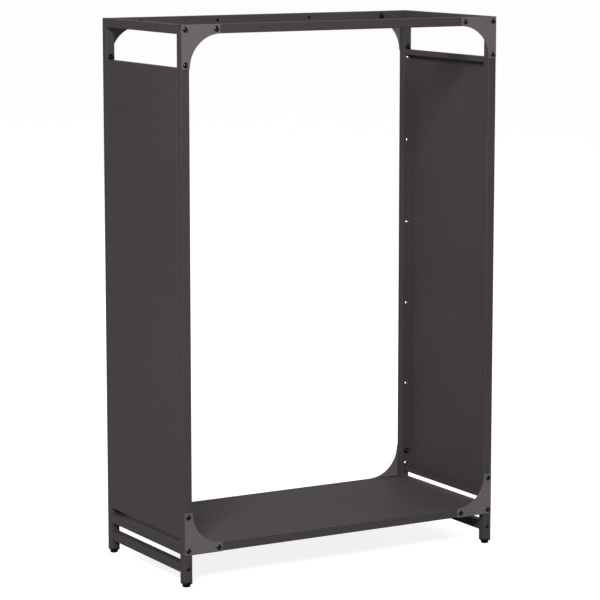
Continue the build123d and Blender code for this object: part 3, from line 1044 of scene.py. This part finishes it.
corner_rows = pairs_across(POST_X, (TOP_RAIL_Z, BOTTOM_RAIL_Z), PLATE_FACE_Y, 1)
post_rows = pairs_across(POST_X, (TOP_RAIL_Z - SCREW_PITCH, BOTTOM_RAIL_Z + SCREW_PITCH), PLATE_FACE_Y, 1)
rail_rows = pairs_across(RAIL_SCREW_X, (TOP_RAIL_Z, BOTTOM_RAIL_Z), PLATE_FACE_Y, 1)
foot_rows = pairs_across(POST_X, (FOOT_RAIL_Z,), POST_FACE_Y, 1)
for node, length, share, rows in (
    ("plate_corner_screws", CORNER_SCREW_LENGTH, 1.0, corner_rows),
    ("plate_post_screws", NUT_SCREW_LENGTH, 1.0, post_rows),
    ("plate_rail_screws", NUT_SCREW_LENGTH, 1.0, rail_rows),
    ("foot_rail_screws", CORNER_SCREW_LENGTH, FOOT_BOLT_SHARE, foot_rows),
):
    screws = fastener_set(f"{node}_set", button_screw(length, share), rows, BLACK_STEEL)
    fitted(screws, node)


# ---------------------------------------------------------------------------
# Nuts: M5 hexagon nuts in the same black-coated steel, run on to the ends of
# the plate screws. At the bottom they also clamp the folded side of a sheet.
# ---------------------------------------------------------------------------

NUT_FLAT_RADIUS = 0.004
NUT_HEIGHT = 0.004
NUT_CHAMFER_SHARE = 0.97
NUT_SHOULDER_SHARE = 1.07


def hexagon_nut():
    """Hexagon with chamfered ends and a countersunk bore, its seat at z = 0."""
    hexagon = hexagon_radius(NUT_FLAT_RADIUS)

    def outer(limit, z):
        return polar_loop(lambda angle: min(hexagon(angle), limit), lambda angle: z)

    chamfer = NUT_FLAT_RADIUS * NUT_CHAMFER_SHARE
    shoulder = NUT_FLAT_RADIUS * NUT_SHOULDER_SHARE
    wide = NUT_FLAT_RADIUS * 2
    loops = [
        outer(chamfer, 0),
        outer(shoulder, 0.0003),
        outer(wide, 0.0006),
        outer(wide, NUT_HEIGHT - 0.0007),
        outer(shoulder, NUT_HEIGHT - 0.0003),
        outer(chamfer, NUT_HEIGHT),
        round_loop(BOLT_SHANK_RADIUS + 0.0005, NUT_HEIGHT),
        round_loop(BOLT_SHANK_RADIUS + 0.00005, NUT_HEIGHT - 0.0005),
        round_loop(BOLT_SHANK_RADIUS + 0.00005, 0),
    ]
    return skinned(loops, ring=True)


def nut_rows(half_x, levels_and_sheets):
    """Nuts at each level, standing off by the thickness of any sheet that they clamp."""
    rows = []
    for z, sheet in levels_and_sheets:
        rows += pairs_across(half_x, (z,), INNER_FACE_Y - sheet, -1)
    return rows


post_nut_rows = nut_rows(POST_X, ((TOP_RAIL_Z - SCREW_PITCH, 0), (BOTTOM_RAIL_Z + SCREW_PITCH, PANEL_SHEET)))
rail_nut_rows = nut_rows(RAIL_SCREW_X, ((TOP_RAIL_Z, 0), (BOTTOM_RAIL_Z, FLOOR_SHEET)))
for node, rows in (("post_nuts", post_nut_rows), ("rail_nuts", rail_nut_rows)):
    fitted(fastener_set(f"{node}_set", hexagon_nut(), rows, BLACK_STEEL), node)


# ---------------------------------------------------------------------------
# Panel and floor screws: small bright zinc-plated pan heads with a cross
# recess. Six go through each folded side of a panel into a post, and ten hold
# the floor to the bottom rails from inside.
# ---------------------------------------------------------------------------

PAN_RADIUS = 0.0035
PAN_HEIGHT = 0.0022
TAPPER_RADIUS = 0.0019
TAPPER_LENGTH = 0.009
CROSS_ARM = 0.0019
CROSS_WIDTH = 0.00042
CROSS_DEPTH = 0.0011
CROSS_SIDES = 48
TAPPER_POINT = 0.0034
PANEL_SCREW_COUNT = 6
FLOOR_SCREW_X = 0.190
FLOOR_SCREW_Y = 0.070


def zinc_plate():
    """Bright zinc over steel, with a faint cloudy passivation and a fine grain."""
    material, tree, shader, finish = mottled(
        "bright_zinc_plate",
        500.0,
        3.0,
        (0.3, 0.7),
        (0.50, 0.52, 0.55),
        (0.74, 0.73, 0.68),
        (0.18, 0.38),
    )
    relief = {"Strength": 0.1, "Distance": 0.00005, "Height": finish.outputs["Height"]}
    bump = plug(tree, "ShaderNodeBump", relief)
    tree.links.new(bump.outputs[0], shader.inputs["Normal"])
    shader.inputs["Metallic"].default_value = 1.0
    return material


ZINC = zinc_plate()


def cross_radius(arm, width):
    """Radius of a cross recess at an angle."""
    def radius_at(angle):
        cosine, sine = max(abs(math.cos(angle)), 1e-6), max(abs(math.sin(angle)), 1e-6)
        return max(min(arm / cosine, width / sine), min(arm / sine, width / cosine))
    return radius_at


def pan_screw():
    """Pan head over a plain shank with a gimlet point, its seat at z = 0."""
    rounds = [
        (0.0002, -TAPPER_LENGTH - TAPPER_POINT),
        (TAPPER_RADIUS, -TAPPER_LENGTH),
        (TAPPER_RADIUS, 0),
        (PAN_RADIUS - 0.0002, 0),
        (PAN_RADIUS, 0.0002),
        (PAN_RADIUS, 0.0008),
        (PAN_RADIUS - 0.0003, 0.0014),
        (PAN_RADIUS - 0.0009, 0.0019),
        (CROSS_ARM * 1.12, PAN_HEIGHT),
    ]
    loops = [round_loop(radius, z, CROSS_SIDES) for radius, z in rounds]
    cross = cross_radius(CROSS_ARM, CROSS_WIDTH)
    loops.append(polar_loop(cross, lambda angle: PAN_HEIGHT - 0.00005, CROSS_SIDES))
    deep = cross_radius(CROSS_ARM * 0.6, CROSS_WIDTH * 0.8)
    loops.append(polar_loop(deep, lambda angle: PAN_HEIGHT - CROSS_DEPTH, CROSS_SIDES))
    return skinned(loops)


low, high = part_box("panel_screws_left")
first_z = low.z + PAN_RADIUS
panel_pitch = (high.z - low.z - 2 * PAN_RADIUS) / (PANEL_SCREW_COUNT - 1)
for side_name in ("left", "right"):
    x = outward(side_name) * POST_X
    rows = []
    for side in (-1, 1):
        first = Vector((x, side * (INNER_FACE_Y - PANEL_SHEET), first_z))
        rows.append((first, Vector((0, 0, panel_pitch)), PANEL_SCREW_COUNT, Vector((0, -side, 0))))
    node = f"panel_screws_{side_name}"
    fitted(fastener_set(f"{node}_set", pan_screw(), rows, ZINC), node)

tray_half = (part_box("floor_tray")[1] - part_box("floor_tray")[0]) / 2
rows = []
for side in (-1, 1):
    long_side = Vector((-FLOOR_SCREW_X, side * (tray_half.y - FLOOR_SHEET), BOTTOM_RAIL_Z))
    rows.append((long_side, Vector((FLOOR_SCREW_X, 0, 0)), 3, Vector((0, -side, 0))))
    short_side = Vector((side * (tray_half.x - FLOOR_SHEET), -FLOOR_SCREW_Y, BOTTOM_RAIL_Z))
    rows.append((short_side, Vector((0, 2 * FLOOR_SCREW_Y, 0)), 2, Vector((-side, 0, 0))))
fitted(fastener_set("tray_screws_set", pan_screw(), rows, ZINC), "tray_screws")


# ---------------------------------------------------------------------------
# Threaded inserts: zinc-plated steel blocks pressed in the ends of the side
# rails, where the long corner screws bite. They are closed in by the posts.
# ---------------------------------------------------------------------------

inserts = nodes["rail_end_inserts"]
for material_slot in inserts.material_slots:
    material_slot.material = ZINC
